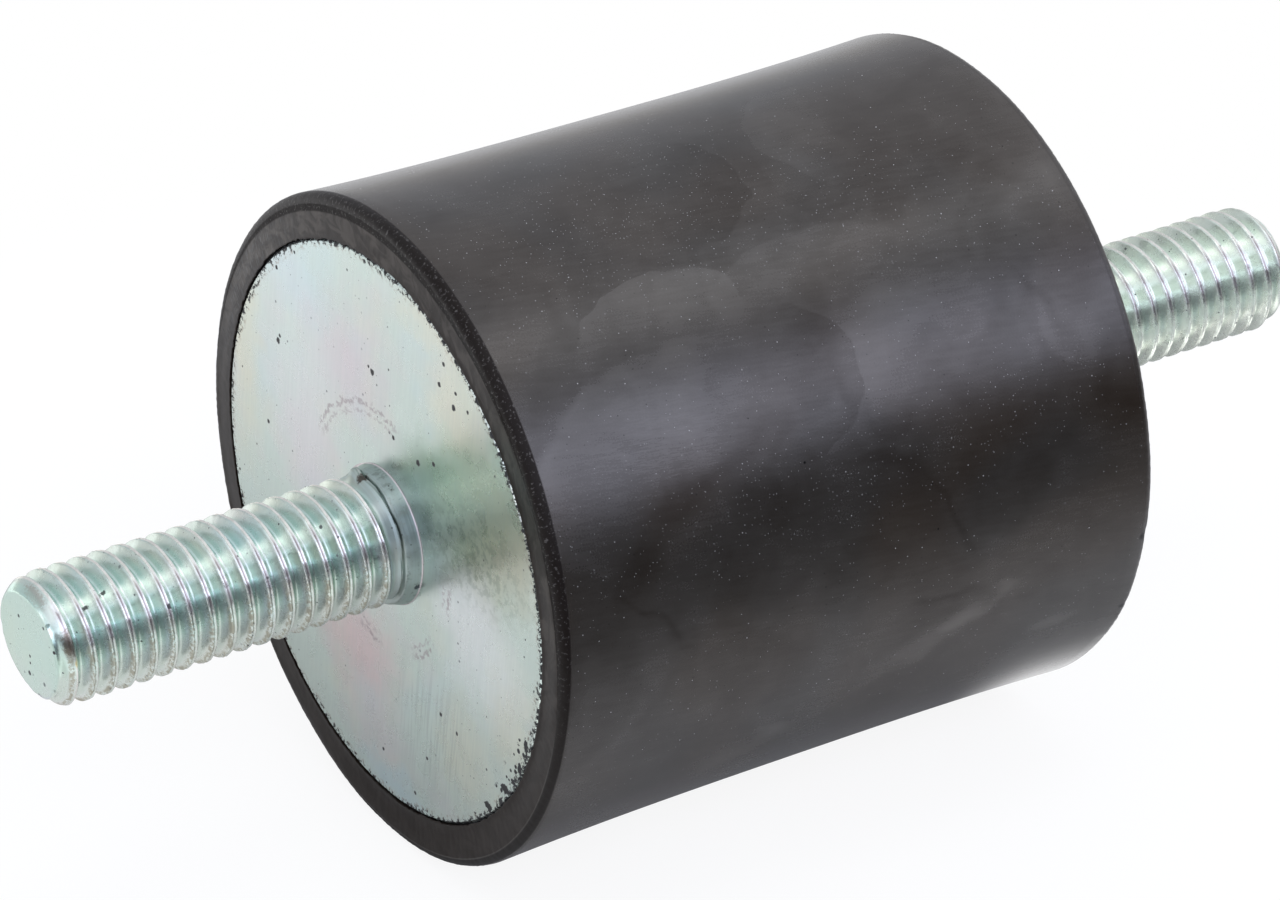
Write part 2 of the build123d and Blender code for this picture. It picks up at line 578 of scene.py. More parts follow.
# The bloom in the photo: middle (x, arc), half sizes, tilt, side and half width of the crisp rim, strength.
# Arc is counted in millimetres round the body, downwards from the middle of the side that the photo shows.
BLOOM = [
    ((-9.2, -6.4), (5.7, 3.3), -10, -75, 0.03, 0.55),
    ((-10.7, 0.9), (10, 6.2), -10, -142, 0.06, 0.5),
    ((-13, 0.2), (5.5, 2.6), -12, 0, 0.6, 0.4),
    ((-9, 1.6), (4.5, 1.2), -20, 90, 0.6, -0.35),
    ((1.2, -6.8), (6.6, 3), -4, -105, 0.05, 0.3),
    ((18.5, -17), (4.5, 14), 0, 0, 0.6, 0.8),
    ((16, 21), (5.5, 4), 0, 90, 0.6, 1.25),
    ((1, 19.2), (8, 1.1), -22, 0, 0.6, 0.85),
    ((-10, 23.6), (5, 1.2), -16, 0, 0.6, 0.75),
    ((-2.8, -1.5), (4.7, 4.6), 10, 0, 0.02, -0.38),
    ((6.6, -0.8), (6.6, 4.2), 4, -150, 0.25, 0.6),
    ((14.4, -0.8), (0.9, 3.6), -24, 0, 0.5, -0.4),
    ((17, -0.6), (3.2, 3.6), -24, 180, 0.12, 0.35),
    ((8.4, -17), (4.6, 5.2), 14, -170, 0.04, 0.38),
    ((-3.4, -15.6), (4.8, 4.6), 14, 0, 0.02, -0.35),
    ((-15.1, -24.1), (3.4, 0.9), -14, 0, 0.4, -0.85),
    ((7.4, 16.1), (1.9, 1), -10, 100, 0.35, 0.95),
    ((5.8, 14.7), (2.6, 0.6), 10, -90, 0.5, -0.45),
    ((9.4, 15.4), (1.2, 0.5), -14, 0, 0.5, 0.8),
    ((-5.8, 21.3), (1.6, 0.7), 12, -30, 0.5, 1.00),
    ((14.4, 19.2), (1.4, 0.9), 0, 90, 0.4, 0.8),
    ((1.7, 5.2), (2.4, 1.1), 10, -60, 0.5, -0.45),
    ((16.8, 5.6), (2.6, 1.6), 0, 0, 0.7, -0.7),
    ((-15.9, 6.2), (2.4, 0.9), 0, 0, 0.8, -0.5),
    ((-7.7, 5), (4, 1.6), 0, 0, 0.6, -0.5),
    ((6, 9.3), (0.5, 3.6), -28, 0, 0.5, -0.4),
    ((-14.3, 9.8), (0.5, 3.8), -48, 0, 0.5, -0.4),
]
# Where the white dust lies thickest: middle, half sizes, strength.
DUST = [
    ((-4.8, -14), (7.5, 6), 1), ((7.2, -9.3), (5.5, 5.5), 0.9), ((0, 4.5), (22, 2.6), 0.8),
    ((-14, -12), (5, 4), 0.5),
]
# Dark nicks and pits that the photo shows one by one: middle, half sizes.
NICKED = [
    ((19.7, 14.5), (0.35, 0.3)), ((19.6, 20.2), (0.3, 0.2)), ((19.5, 29.3), (0.4, 0.3)),
    ((4.9, 9.6), (0.05, 0.07)), ((-3.3, 3.3), (0.08, 0.07)),
]
# Strokes worn into the bloom near the front end, and a scratched stretch of the front end face.
WORN_PLACE = ((-11.5, 0.2), (4.5, 2.6))
SCRATCHED_PLACE = ((-21.3, -38.8), (1.6, 7))
STROKE_TILT = 7
# The angle round the axis at which arc is 0, counted from the back over the top, the radius at which arc is
# measured, and the radius of the flat end faces.
START = math.radians(147)
ARC_RADIUS = 19.85
FACE_RADIUS = 19.4
# The worn edge: how far behind the end's plane it begins, at which radius, and half the width of its fade.
WORN_DEPTH = 0.32
WORN_RADIUS = 19.46
WORN_SOFT = 0.06


def rubber_places(s, x, y, z):
    """Flat coordinates along the axis, on over the end faces and round the body; and the radius."""
    across = s.plus(s.times(y, math.cos(START)), s.times(z, math.sin(START)))
    up = s.minus(s.times(z, math.cos(START)), s.times(y, math.sin(START)))
    arc = s.times(s.math("ARCTAN2", up, across), ARC_RADIUS)
    radius = s.math("SQRT", s.plus(s.times(y, y), s.times(z, z)))
    inwards = s.most(s.minus(BODY_RADIUS - 0.4, radius), 0)
    return s.joined(s.times_plus(s.math("SIGN", x), inwards, x), arc), radius


def rubber_ends(s, x, y, z, radius):
    """Shares of the flat end faces, of the worn edges round them, and of the upper part."""
    face = s.step(radius, FACE_RADIUS + 0.04, FACE_RADIUS - 0.04)
    mean_y, mean_z = [(front + rear) / 2 / BODY_RADIUS for front, rear in zip(FRONT_LEAN, REAR_LEAN)]
    half_z = (REAR_LEAN[1] - FRONT_LEAN[1]) / 2 / BODY_RADIUS
    lean = s.times_plus(z, s.times_plus(s.math("SIGN", x), half_z, mean_z), s.times(y, mean_y))
    depth = s.minus(END_FACE, s.apart(x, lean))
    above = s.step(s.times_plus(y, -0.17, z), -5, 11)
    worn_side = s.minus(depth, s.times_plus(above, WORN_DEPTH, WORN_DEPTH))
    worn_from = s.plus(s.times_plus(above, -0.24, WORN_RADIUS), s.step(z, 10, 19, 0, -0.26))
    worn_face = s.minus(radius, worn_from)
    edge = s.times(s.step(worn_side, WORN_SOFT, -WORN_SOFT), s.step(worn_face, -WORN_SOFT, WORN_SOFT))
    return face, s.times(edge, s.step(x, 5, -5, 0.25, 1)), above


def rubber_bloom(s, flat, fine, grain):
    """How thick the bloom lies: negative where it is thin, and a little above 1 where it is thickest."""
    bent = s.wobbled(flat, 0.35, 1, 1.4)
    haze = 0
    for middle, half, tilt, towards, crisp, strength in BLOOM:
        haze = s.times_plus(s.patch(bent, middle, half, tilt, towards, crisp), strength, haze)
    large = s.step(s.flat_noise(flat, 0.14, 2, 0.5, 0.6), 0.25, 0.75, -0.2, 0.22)
    small = s.step(s.flat_noise(flat, 0.42, 1, 0.5, 0.8), 0.2, 0.8, -0.1, 0.1)
    scuffs = s.step(s.strokes(flat, (2.4, 0.3), STROKE_TILT, 1, 0.65), 0.25, 0.75, -0.08, 0.08)
    haze = s.plus(haze, s.plus(large, small), scuffs)
    worn = s.times(s.spot(flat, *WORN_PLACE), 0.13)
    haze = s.times_plus(s.step(fine, 0.28, 0.72, -1.6, 0.6), worn, haze)
    return s.plus(haze, s.step(grain, 0.25, 0.75, -0.08, 0.08))


def rubber_specks(s, flat, edge):
    """Shares of the white dust and of the dark pits."""
    thick = 0.05
    for middle, half, strength in DUST:
        thick = s.times_plus(s.spot(flat, middle, half, 0, 0.8), 0.18 * strength, thick)
    small = s.specks(flat, 4.2, 0.05, thick)
    large = s.specks(flat, 1.1, 0.08, s.times_plus(thick, 0.5, 0.12))
    dust = s.times(s.most(small, large), s.times_plus(edge, -0.9, 1))
    pits = s.specks(s.shifted(flat, (5.3, 2.1, 0)), 0.9, 0.09, 0.3)
    for middle, half in NICKED:
        pits = s.most(pits, s.spot(flat, middle, half, 0, 0.4))
    return dust, pits


def rubber_material():
    """Black rubber with bloom, dust and pits, blotchy end faces, and darker edges with pale grit."""
    material = bpy.data.materials.new("bloomed_rubber")
    s = Shader(material)
    x, y, z = s.place()[1:]
    flat, radius = rubber_places(s, x, y, z)
    face, edge, above = rubber_ends(s, x, y, z, radius)
    fine = s.strokes(flat, (0.8, 0.1), STROKE_TILT, 1, 0.7, 0, (3, 1))
    grain = s.flat_noise(flat, 8, 1, 0.7)
    haze = rubber_bloom(s, flat, fine, grain)
    dust, pits = rubber_specks(s, flat, edge)
    blotch = s.strokes(flat, (0.9, 1.7), 20, 2, 0.65, 0.5)
    grit = s.times(s.step(s.flat_noise(flat, 5, 2, 0.75), 0.58, 0.74), above)
    scratched = s.times(s.spot(flat, *SCRATCHED_PLACE), s.step(fine, 0.54, 0.66))

    warm = s.step(s.flat_noise(flat, 0.09, 1, 0.55), 0.38, 0.62)
    dull = s.mix(warm, grey(0.013, (1.42, 0.96, 0.64)), grey(0.013, (1.26, 0.98, 0.74)))
    pale = s.mix(warm, grey(0.04, (1.17, 0.98, 0.76)), grey(0.04, (1.06, 0.99, 0.87)))
    tone = s.mix(s.step(haze, -1.2, 1.6), dull, pale)
    tone = s.paint(tone, dust, 0.85, grey(0.62, (1, 0.98, 0.94)))
    tone = s.mix(pits, tone, grey(0.004))
    tone = s.paint(tone, face, 0.9, grey(0.0095, (1.55, 0.95, 0.65)))
    tone = s.mix(s.times(scratched, face), tone, grey(0.06))
    worn = s.mix(s.times(grit, 0.75), grey(0.007, (1.4, 1, 0.8)), grey(0.12, (1, 0.93, 0.86)))
    tone = s.mix(edge, tone, worn)

    # The shine is strongest in the bloom, and weak on the end faces, the edges, the pits and the dust.
    inner = s.times(s.step(s.times_plus(blotch, 2.2, radius), 19.2, 18.8), face)
    shine = s.times(s.step(haze, -1.6, 1.9, 0.16, 1), s.rest(face))
    spread = s.times(s.step(blotch, 0.34, 0.66, 0, 0.5), s.times_plus(above, 0.75, 0.25))
    spread = s.times(spread, s.step(z, 8, 17, 1, 0.7), face)
    shine = s.times(s.plus(shine, spread), s.times_plus(s.most(edge, inner), -0.8, 1))
    shine = s.times(shine, s.rest(s.most(pits, s.times(dust, 0.7))))
    tint = s.mix(shine, grey(0), s.mix(face, (1, 0.945, 0.9), (1, 0.9, 0.8)))

    rough = s.plus(s.step(haze, -1, 1, 0.24, 0.29), s.times(edge, 0.22), s.times(face, 0.14))
    normal = s.bump(s.times_plus(fine, 0.12, s.times(grain, 0.5)), 0.45)
    inputs = {"Base Color": tone, "Roughness": rough, "Normal": normal, "IOR": 1.92, "Specular Tint": tint}
    s.surface(inputs)
    return material


# The plating

# The tints of the plating's clouds and stains.
TINTS = {
    "pink": (0.8, 0.68, 0.73), "gold": (0.84, 0.82, 0.66), "sky": (0.66, 0.82, 0.88),
    "green": (0.54, 0.74, 0.6), "mirrored_teal": (0.36, 0.48, 0.38), "white": (0.9, 0.96, 0.95),
    "rose": (0.84, 0.66, 0.66), "olive": (0.68, 0.66, 0.52),
}
# Soft clouds of interference colour in all plating: shift of the noise, scale, colour.
CLOUDS = [((7, 3, 1), 0.16, "sky"), ((1, 9, 4), 0.17, "pink"), ((5, 2, 11), 0.2, "gold")]
PLATE_DIRT = grey(0.03, (1, 0.9, 0.85))
STUD_DIRT = grey(0.03)
FILM_BLACK = grey(0.016)

# Stains in the plating of the plates; the teal ones are partly a painted reflection of the front stud:
# middle (y, z), half sizes, colour, strength.
STAINS = [
    ((3.6, 9.3), (4, 3.2), "pink", 0.6), ((8.2, 2.3), (3, 4), "pink", 0.6),
    ((-9.7, -0.3), (2.5, 3), "pink", 0.5), ((2.7, -8.6), (3.6, 2.8), "rose", 0.85),
    ((0.9, -13.5), (3, 2), "pink", 0.45), ((8.8, 12.6), (3, 2), "sky", 0.5),
    ((-0.7, -16.4), (3, 1.2), "sky", 0.6), ((15.4, 5.4), (1.6, 4.5), "gold", 0.6),
    ((-6.2, 15.8), (3, 1.2), "gold", 0.6), ((-8.4, 11.7), (2.6, 3.2), "gold", 0.6),
    ((-13.7, -5.4), (2, 3.2), "gold", 0.6), ((-8.9, -10.7), (2.6, 3), "gold", 0.5),
    # The teal stains here are partly a painted reflection of the front stud.
    ((-8.9, 7.3), (3.4, 2), "green", 0.6), ((-4.9, 6.5), (2.4, 1.6), "mirrored_teal", 0.4),
    ((-10.5, 3.6), (4.6, 2.4), "mirrored_teal", 0.5), ((-11, -3), (3.5, 3), "white", 0.7),
    ((-8, 0.6), (3, 2.4), "white", 0.7), ((9, 6), (4, 6), "white", 0.35),
    ((-13.6, 7), (4.5, 4), "olive", 0.85), ((-10, 4.6), (4, 3), "olive", 0.45),
]
# Specks of dirt on the plates: (y, z), half size.
PLATE_SPECKS = [
    (11.3, 7.5, 0.2), (11.1, 7.9, 0.12), (0.5, 10.2, 0.2), (0.9, 10.4, 0.1), (-8.65, 12.9, 0.12),
    (-6.9, 12.7, 0.16), (-1.7, 7, 0.14), (-7.4, 14.2, 0.14), (12.8, 1.5, 0.14), (-4.4, 6.6, 0.2),
    (-6.1, 7.3, 0.16), (11.2, 12.3, 0.14), (-6.35, -8.9, 0.14), (-8.1, -9.3, 0.12), (-4.7, -12.7, 0.12),
    (0.3, -14.6, 0.12), (-3.25, -15.8, 0.12), (-8.4, 11.9, 0.2), (-9.9, 12.3, 0.12),
]
# Blobs of rubber on the plates' rims: middle (y, z), half sizes.
BLOBS = [
    ((-15.6, -6.3), (0.2, 0.45)), ((-14.9, -8.2), (0.22, 0.4)), ((-14.2, -9.4), (0.26, 0.2)),
    ((-13.3, -10.3), (0.4, 0.28)), ((-12.9, -11.5), (0.3, 0.26)), ((-11.4, -12.4), (0.4, 0.24)),
]
# The mark that a washer left: its middle and radius, and the middle and half of each arc, in degrees.
WASHER_MIDDLE = (0.1, 0.22)
WASHER_RADIUS = 8.05
WASHER_ARCS = [(68, 38), (-171, 6), (-129, 10), (-80, 8)]
# The film of rubber covers the plates from about this radius on, and is messier at one place.
FILM_RADIUS = 17.38
MESSY_PLACE = ((-14, -9.5), (3, 5), -30)
# Where brush lines show, and where dark mottling is painted as a reflection of the front stud.
BRUSHED_PLACE = ((-5.5, -10.5), (3, 3.4))
MIRRORED_STUD_PLACE = ((-10.5, 3.2), (4.5, 2.4))


def zinc_colour(s, place, low, high, share):
    """Plating colour: pale green-grey with soft blue, pink and yellow clouds."""
    base = s.mix(s.noise(place, 0.22, 2), low, high)
    for shift, scale, tint in CLOUDS:
        cloud = s.step(s.noise(s.shifted(place, shift), scale, 2), 0.5, 0.72, 0, share)
        base = s.mix(cloud, base, TINTS[tint])
    return base


def washer_mark(s, flat):
    """Two thin rings, close together and broken into arcs."""
    about = s.shifted(flat, (-WASHER_MIDDLE[0], -WASHER_MIDDLE[1], 0))
    parts = s.node("SeparateXYZ", {0: about}).outputs
    angle = s.times(s.math("ARCTAN2", parts[1], parts[0]), 180 / math.pi)
    off = s.minus(s.times_plus(s.flat_noise(flat, 1.5, 3, 0.6), 0.8, s.length(about)), WASHER_RADIUS)
    rings = s.most(s.band(off, 0, 0.24, 0.06), s.times(s.band(off, -0.55, 0.2, 0.05), 0.7))
    arcs = 0
    for middle, half in WASHER_ARCS:
        arcs = s.most(arcs, s.band(angle, middle, half + 4, half - 4))
    broken = s.step(s.flat_noise(flat, 2.6, 2, 0.6), 0.4, 0.56)
    return s.times(rings, arcs, broken)


def plate_dirt(s, flat, ragged):
    """Black specks, scattered at random and one by one."""
    dirt = s.most(s.specks(flat, 0.7, 0.18, 0.16), s.specks(flat, 2.3, 0.09, 0.06))
    for across, up, size in PLATE_SPECKS:
        reach = s.length(s.turned_to(flat, (across, up), (size, size)))
        dirt = s.most(dirt, s.step(s.plus(reach, ragged), 1.2, 0.8))
    return dirt


def rubber_film(s, flat, radius, ragged):
    """Shares of the ragged film of rubber over the plate's rim, and of the rust along it."""
    teeth = s.flat_noise(flat, 2.8, 4, 0.75)
    middle, half, tilt = MESSY_PLACE
    messy = s.spot(flat, middle, half, tilt, 0.5)
    wide = s.times_plus(messy, 0.22, s.step(s.flat_noise(flat, 0.16, 1, 0.5), 0.4, 0.65, 0.3, 0.5))
    over = s.minus(radius, s.minus(FILM_RADIUS, s.times(s.step(teeth, 0.42, 0.62), wide)))
    film = s.step(over, -0.03, 0.03)
    near = s.step(over, s.times_plus(messy, -1.4, -0.5), 0)
    spray = s.times(s.specks(flat, 2, 0.34, s.times_plus(messy, 0.45, 0.1)), near)
    film = s.most(film, s.step(spray, 0.1, 0.35))
    for middle, half in BLOBS:
        reach = s.length(s.turned_to(flat, middle, half))
        film = s.most(film, s.step(s.times_plus(ragged, 1.6, reach), 1.15, 0.9))
    return film, s.times(s.step(over, -0.35, -0.02), s.step(teeth, 0.45, 0.62))


def plate_material():
    """Zinc-plated sheet with stains, a washer's mark, brush lines, specks and rubber on its rim, and a
    mottled painted reflection of the front stud.
    """
    material = bpy.data.materials.new("zinc_plate")
    s = Shader(material)
    place, x, y, z = s.place()
    mirror = s.times(s.math("SIGN", x), -1)
    flat = s.joined(s.times(y, mirror), s.times(z, mirror))
    ragged = s.times_plus(s.flat_noise(flat, 5, 2, 0.6), 0.8, -0.4)
    dirt = plate_dirt(s, flat, ragged)
    film, rust = rubber_film(s, flat, s.length(flat), ragged)
    bare = s.rest(s.most(film, dirt))
    lines = s.strokes(flat, (0.22, 5), 8, 2, 0.6, 0.3)
    brushed = s.times(s.step(lines, 0.5, 0.6), s.spot(flat, *BRUSHED_PLACE))
    mirrored_stud = s.times(s.step(s.flat_noise(flat, 1.6, 3, 0.7), 0.45, 0.62), s.spot(flat, *MIRRORED_STUD_PLACE))

    tone = zinc_colour(s, place, (0.68, 0.79, 0.72), (0.74, 0.83, 0.765), 0.3)
    bent = s.wobbled(flat, 0.5, 3, 3)
    for middle, half, tint, strength in STAINS:
        tone = s.paint(tone, s.spot(bent, middle, half, 0, 0.8), strength, TINTS[tint])
    tone = s.paint(tone, washer_mark(s, flat), 0.62, (0.38, 0.31, 0.33))
    tone = s.paint(tone, brushed, 0.22, (0.36, 0.4, 0.38))
    tone = s.mix(s.step(lines, 0.3, 0.7, 0, 0.1), tone, (0.5, 0.56, 0.55))
    tone = s.mix(dirt, tone, PLATE_DIRT)
    tone = s.paint(tone, rust, 0.45, (0.3, 0.2, 0.14))
    tone = s.mix(film, tone, FILM_BLACK)
    # Dark mottling painted as a reflection of the front stud.
    tone = s.paint(tone, mirrored_stud, 0.45, (0.2, 0.26, 0.2))

    rough = s.step(s.flat_noise(flat, 0.5, 3, 0.6), 0.3, 0.7, 0.25, 0.33)
    rough = s.times_plus(bare, -0.25, s.plus(rough, 0.25))
    normal = s.bump(s.times_plus(film, 2.5, s.times(lines, 0.6)), 0.35)
    s.surface({"Base Color": tone, "Metallic": bare, "Roughness": rough, "Normal": normal})
    return material


# Marks on the front stud, with painted light among them: (x, angle round the stud), half sizes, colour,
# strength.
BLACK_SPECK = (0.03, 0.03, 0.03)
STUD_MARKS_AND_PAINTED_LIGHT = [
    # The near-white marks at 142 and 123 degrees by the tip are painted highlights, and the dark mark at 85
    # degrees beside the collar's burr is painted shade.
    ((-43.15, 142), (0.12, 6), (0.9, 0.9, 0.88), 0.8), ((-43.1, 135), (0.1, 2), (0.05, 0.05, 0.05), 0.9),
    ((-43.2, 159), (0.09, 6), (0.06, 0.07, 0.07), 0.8), ((-42.4, 156), (0.32, 12), (0.2, 0.15, 0.09), 0.7),
    ((-42.15, 174.5), (0.12, 4), (0.85, 0.72, 0.35), 0.7), ((-43, 100), (0.26, 16), (0.4, 0.35, 0.29), 0.6),
    ((-42.5, 123), (0.16, 5), (0.92, 0.92, 0.9), 0.7), ((-21.45, 85), (0.3, 4), (0.06, 0.04, 0.03), 0.9),
    ((-20.46, 203), (0.14, 3), (0.05, 0.06, 0.07), 0.9), ((-39.3, 120), (0.12, 2), BLACK_SPECK, 0.9),
    ((-40.6, 129), (0.12, 2), BLACK_SPECK, 0.9), ((-36.1, 151), (0.14, 2), BLACK_SPECK, 0.9),
    ((-23.3, 171), (0.12, 2), BLACK_SPECK, 0.9),
]
# Specks on the front stud's tip: (y, z) about the stud's axis, half size.
TIP_SPECKS = [
    (0.92, 1.43, 0.1), (0.09, -0.8, 0.09), (0.14, -1.27, 0.08), (-2.92, 0.89, 0.1), (-1.98, 2.02, 0.1),
    (0.34, -2.02, 0.14), (-1.33, -1.96, 0.12), (-2.52, -1.88, 0.14),
]
# A stud's sides go by their height towards the light: 1 at the top of what the photo shows, -1 below.
LIGHT_ANGLE = START - math.pi / 2
# Heights of the painted highlight and of the painted shade band on the studs' sides.
PAINTED_HIGHLIGHT_HEIGHT = 0.35
PAINTED_SHADE_HEIGHT = 0.06


class StudPlaces:
    """Where a point lies about its stud's own axis and on its thread, and what follows from that."""

    def __init__(self, s):
        self.vector, self.x, y, z = s.place()
        end = s.math("SIGN", self.x)
        own = []
        for value, front, rear in zip((y, z), FRONT_STUD.centre, REAR_STUD.centre):
            own.append(s.minus(value, s.times_plus(end, (rear - front) / 2, (rear + front) / 2)))
        self.tip_flat = s.joined(*own)
        self.radius = s.length(self.tip_flat)
        self.turn = s.math("DIVIDE", s.math("ARCTAN2", own[1], own[0]), 2 * math.pi)
        self.reach = s.math("ABSOLUTE", self.x)
        self.front = s.step(self.x, 1, -1)

        # Distance from the nearest crest line along the axis, and the outside of the threaded rod.
        first, last = FRONT_STUD.crest, REAR_STUD.crest
        start = s.times_plus(end, (last - first) / 2, (last + first) / 2)
        share = s.minus(s.math("DIVIDE", s.minus(self.x, start), PITCH), self.turn)
        self.off = s.times(s.minus(s.math("FRACT", s.plus(share, 0.5)), 0.5), PITCH)
        self.outside = s.step(self.radius, TIP_RADIUS - 0.12, TIP_RADIUS + 0.02)
        self.rod = s.times(s.step(self.reach, END_FACE + 1, END_FACE + 1.3), self.outside)

        along_y, along_z = math.cos(LIGHT_ANGLE), math.sin(LIGHT_ANGLE)
        towards = s.plus(s.times(own[0], along_y), s.times(own[1], along_z))
        self.height = s.math("DIVIDE", towards, self.radius)
        self.upper = s.step(self.height, 0.25, 0.55)
        self.lower = s.step(self.height, -0.15, -0.45)


def thread_sides(s, at, tone):
    """Greener valleys, and painted light by height: a painted highlight along the upper side, a painted
    shade band below it, a pale underside with paler valleys, and a darker top.
    """
    tone = s.paint(tone, s.rest(at.front), 0.7, (0.84, 0.91, 0.79))
    valley = s.times(s.step(at.radius, 3.62, 3.38), at.rod)
    tone = s.paint(tone, s.times(valley, at.front), 0.5, (0.46, 0.66, 0.6))
    # Paler valleys on the underside: painted light.
    tone = s.paint(tone, s.times(valley, at.lower), 0.6, (0.58, 0.72, 0.58))
    # A painted highlight along the upper side, and a painted shade band below it.
    lit = s.times(s.band(at.height, PAINTED_HIGHLIGHT_HEIGHT, 0.24, 0.08), at.outside)
    shade = s.times(s.band(at.height, PAINTED_SHADE_HEIGHT, 0.17, 0.06), at.outside)
    tone = s.paint(tone, lit, 0.55, (0.95, 0.98, 0.9))
    tone = s.paint(tone, shade, 0.42, (0.36, 0.38, 0.28))
    # Painted light on the pale underside, and painted shade on the darker top.
    tone = s.mix(s.times(s.step(at.height, -0.5, -0.8, 0, 0.45), at.outside), tone, (0.88, 0.88, 0.82))
    return s.mix(s.times(s.step(at.height, 0.8, 0.95, 0, 0.3), at.outside), tone, (0.5, 0.52, 0.44))


def crest_lines(s, at, tone, left, rubbed):
    """Painted highlights on cream crests above, on two lips in the middle and on a crisp line below; painted
    shade beside the crests above, in the groove between the lips and along a dark line; a painted lavender
    reflection and grit below; worn crests.
    """

    def stripe(off, half, soft):
        return s.times(s.band(at.off, off, half + soft, half - soft), at.rod)

    middle = s.rest(s.most(at.upper, at.lower))
    # Painted highlight along the cream crests above, and a painted shade line beside them.
    tone = s.paint(tone, s.times(stripe(0.05, 0.06, 0.05), at.upper), 0.85, (0.95, 0.9, 0.82))
    tone = s.paint(tone, s.times(stripe(0.2, 0.03, 0.03), at.upper), 0.5, (0.36, 0.33, 0.28))
    # Painted highlights on the two lips, and painted shade in the groove between them.
    tone = s.paint(tone, s.times(stripe(0, 0.17, 0.04), middle), 0.75, (0.92, 0.91, 0.88))
    tone = s.paint(tone, s.times(stripe(0, 0.05, 0.03), middle), 0.85, (0.36, 0.29, 0.3))
    tone = s.paint(tone, s.times(left, at.front), 0.6, (0.34, 0.28, 0.16))
    # Below: a painted highlight along a crisp line, a painted shade line and a painted lavender reflection.
    tone = s.paint(tone, s.times(stripe(0.14, 0.05, 0.03), at.lower), 0.7, (0.82, 0.78, 0.72))
    dark = s.times(stripe(0.245, 0.035, 0.03), s.rest(at.upper))
    tone = s.paint(tone, s.times(dark, at.front), 0.7, (0.1, 0.1, 0.1))
    tone = s.paint(tone, s.times(stripe(0.36, 0.08, 0.04), at.lower), 0.55, (0.66, 0.66, 0.78))
    return s.paint(tone, s.times(rubbed, stripe(0, 0.22, 0.06)), 0.16, (0.34, 0.3, 0.24))


def collar_tone(s, at, tone, shank):
    """The ringed shank between thread and collar under painted shade, the collar's satin side with darker
    blots and a painted shade band, and a painted highlight along its foot on the plate.
    """
    rings = s.noise(s.scaled(at.vector, (7, 0.2, 0.2)), 1, 1)
    shade_band = s.band(at.height, 0.05, 0.4, 0.1)
    # Painted shade over the shank, deepest in the shade band.
    tone = s.paint(tone, s.times(shank, s.times_plus(shade_band, 0.45, 0.5)), 0.9, (0.15, 0.19, 0.18))
    tone = s.paint(tone, s.times(shank, s.step(rings, 0.5, 0.58)), 0.4, (0.52, 0.62, 0.6))
    side = s.times(s.step(at.reach, END_FACE + 1, END_FACE + 0.85), s.step(at.radius, 3.9, 3.98))
    tone = s.paint(tone, side, 0.5, (0.3, 0.38, 0.35))
    # Painted shade band on the collar's side.
    tone = s.paint(tone, s.times(side, shade_band), 0.6, (0.08, 0.1, 0.09))
    blots = s.step(s.noise(at.vector, 2.2, 3, 0.7), 0.52, 0.66)
    tone = s.paint(tone, s.times(side, blots), 0.45, (0.16, 0.18, 0.15))
    # Painted highlight along the collar's foot on the plate.
    return s.paint(tone, s.step(at.reach, END_FACE + 0.1, END_FACE + 0.04), 0.7, (0.8, 0.7, 0.7))


def stud_material():
    """Zinc-plated thread, collar and tip, with the marks that the photo shows on the front stud."""
    material = bpy.data.materials.new("zinc_stud")
    s = Shader(material)
    at = StudPlaces(s)
    rubbed = s.step(s.noise(at.vector, 1.7, 3, 0.7), 0.47, 0.6)
    grit = s.step(s.noise(at.vector, 6, 2, 0.7), 0.45, 0.6)
    left = s.times(s.band(at.off, -0.12, 0.19, 0.09), at.rod, at.lower, s.most(rubbed, grit))
    shank = s.times(s.step(at.reach, END_FACE + 1.9, END_FACE + 1.5), at.outside)
    at_tip = s.step(at.x, -42.9, -43.1)
    dirt = s.most(s.specks(at.vector, 0.9, 0.26, 0.35, "3D"), s.specks(at.vector, 2.4, 0.14, 0.35, "3D"))
    for across, up, size in TIP_SPECKS:
        inner = s.length(s.turned_to(at.tip_flat, (across, up), (size, size)))
        dirt = s.most(dirt, s.times(s.step(inner, 1.3, 0.8), at_tip))

    tone = zinc_colour(s, at.vector, (0.61, 0.74, 0.67), (0.71, 0.8, 0.72), 0.35)
    tone = thread_sides(s, at, tone)
    tone = crest_lines(s, at, tone, left, rubbed)
    tone = collar_tone(s, at, tone, shank)
    round_flat = s.joined(at.x, s.times(s.math("FRACT", s.plus(at.turn, 1)), 360))
    for middle, half, colour, strength in STUD_MARKS_AND_PAINTED_LIGHT:
        inner = s.times_plus(grit, 0.4, s.length(s.turned_to(round_flat, middle, half)))
        tone = s.paint(tone, s.times(s.step(inner, 1.5, 0.9), at.outside), strength, colour)
    tone = s.paint(tone, at_tip, 0.3, (0.6, 0.88, 0.74))
    tone = s.mix(dirt, tone, STUD_DIRT)

    rough = s.step(s.noise(at.vector, 0.8, 3, 0.6), 0.3, 0.7, 0.19, 0.3)
    rough = s.times_plus(s.most(left, dirt, shank), 0.2, rough)
    metal = s.times_plus(dirt, -0.85, 0.85)
    normal = s.bump(s.times_plus(rubbed, -0.8, s.noise(at.vector, 5, 2, 0.65)), 0.22)
    s.surface({"Base Color": tone, "Metallic": metal, "Roughness": rough, "Normal": normal})
    return material


# The object

rubber = rubber_material()
plate_zinc = plate_material()
stud_zinc = stud_material()

skin = add_rubber("rubber_skin", rubber)
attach(skin, "root")
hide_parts("rubber_body")

for name, node, shape in (
    ("front_stud_threaded", "front_stud", FRONT_STUD),
    ("rear_stud_threaded", "rear_stud", REAR_STUD),
):
    stud = add_stud(name, shape, stud_zinc)
    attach(stud, "root")
    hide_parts(node)

